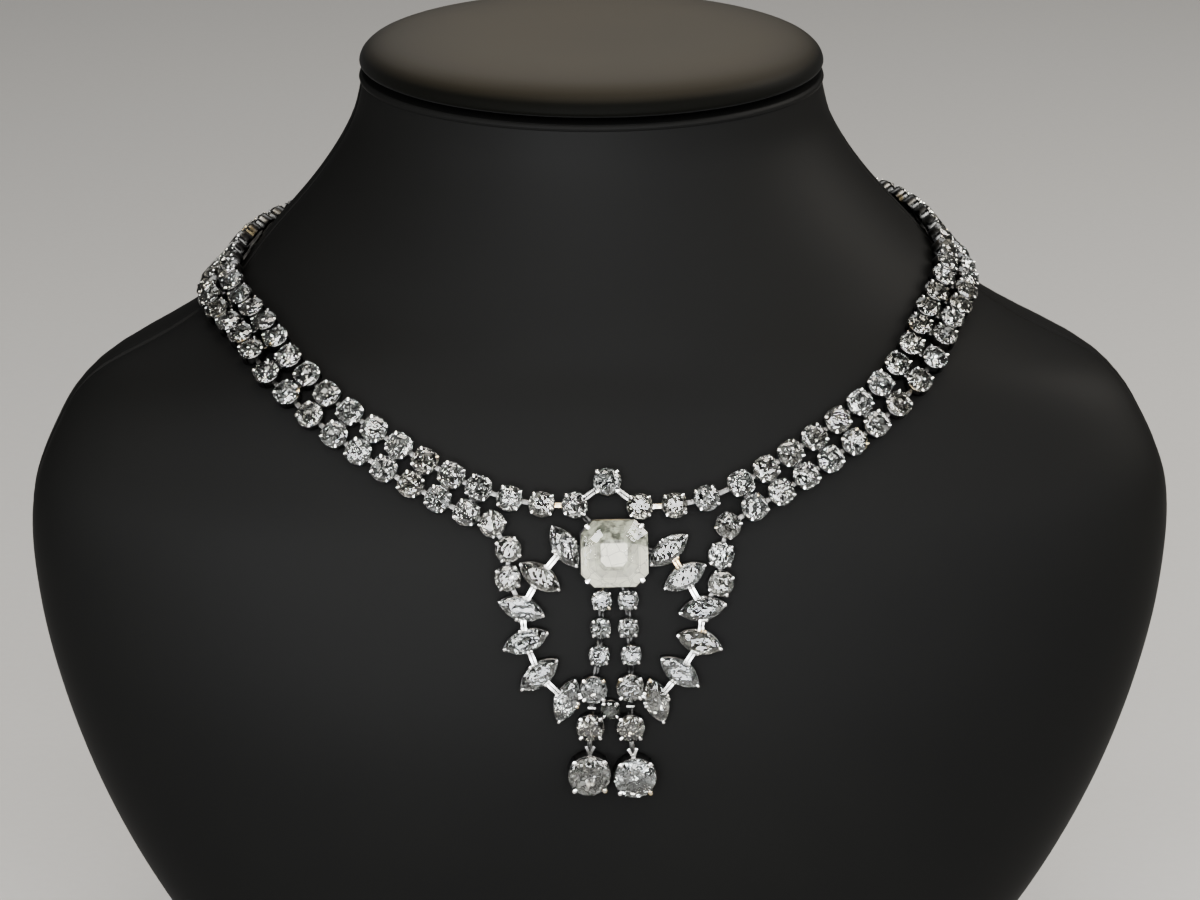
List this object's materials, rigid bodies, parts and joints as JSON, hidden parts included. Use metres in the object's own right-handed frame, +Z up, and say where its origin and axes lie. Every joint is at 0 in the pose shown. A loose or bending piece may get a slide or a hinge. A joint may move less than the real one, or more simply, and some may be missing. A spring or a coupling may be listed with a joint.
{
  "type": "rhinestone necklace on a neck bust",
  "caption": "Crystal necklace with rows of claw-set round stones, an octagon centre in a ring of pointed ovals and round drops, on a plain dark neck bust.",
  "frame": {"origin": "middle of the bust's flat foot, on the surface that it stands on", "axes": "+X to the right as the front is looked at, -Y to the front, +Z up"},
  "size_m": [0.2172, 0.1271, 0.2007],
  "materials": {
    "bust": "satin black",
    "cap": "satin warm grey",
    "silver": "polished",
    "crystal": "cut and polished",
    "dark_crystal": "cut and polished"
  },
  "bodies": {
    "root": {"bust_body": "bust", "centre_setting": "silver", "clasp": "silver", "dark_stone": "dark_crystal", "drop_setting_left": "silver", "drop_setting_right": "silver", "drop_stone_left": "crystal", "drop_stone_right": "crystal", "marquise_stone_left_1": "crystal", "marquise_stone_left_2": "crystal", "marquise_stone_left_3": "crystal", "marquise_stone_left_4": "crystal", "marquise_stone_left_5": "crystal", "marquise_stone_left_6": "crystal", "marquise_stone_right_1": "crystal", "marquise_stone_right_2": "crystal", "marquise_stone_right_3": "crystal", "marquise_stone_right_4": "crystal", "marquise_stone_right_5": "crystal", "marquise_stone_right_6": "crystal", "medium_stone_left_1": "crystal", "medium_stone_left_2": "crystal", "medium_stone_right_1": "crystal", "medium_stone_right_2": "crystal", "neck_cap": "cap", "octagon_stone": "crystal", "pair_settings_left": "silver", "pair_settings_right": "silver", "pair_stones_left": "crystal", "pair_stones_right": "crystal", "side_drop_stone_left_1": "crystal", "side_drop_stone_left_2": "crystal", "side_drop_stone_left_3": "crystal", "side_drop_stone_right_1": "crystal", "side_drop_stone_right_2": "crystal", "side_drop_stone_right_3": "crystal", "single_settings_left": "silver", "single_settings_right": "silver", "string_stone_left_1": "crystal", "string_stone_left_2": "crystal", "string_stone_left_3": "crystal", "string_stone_right_1": "crystal", "string_stone_right_2": "crystal", "string_stone_right_3": "crystal", "top_stone": "crystal", "upper_row_stone_left_1": "crystal", "upper_row_stone_left_2": "crystal", "upper_row_stone_left_3": "crystal", "upper_row_stone_right_1": "crystal", "upper_row_stone_right_2": "crystal", "upper_row_stone_right_3": "crystal"}
  },
  "joints": []
}
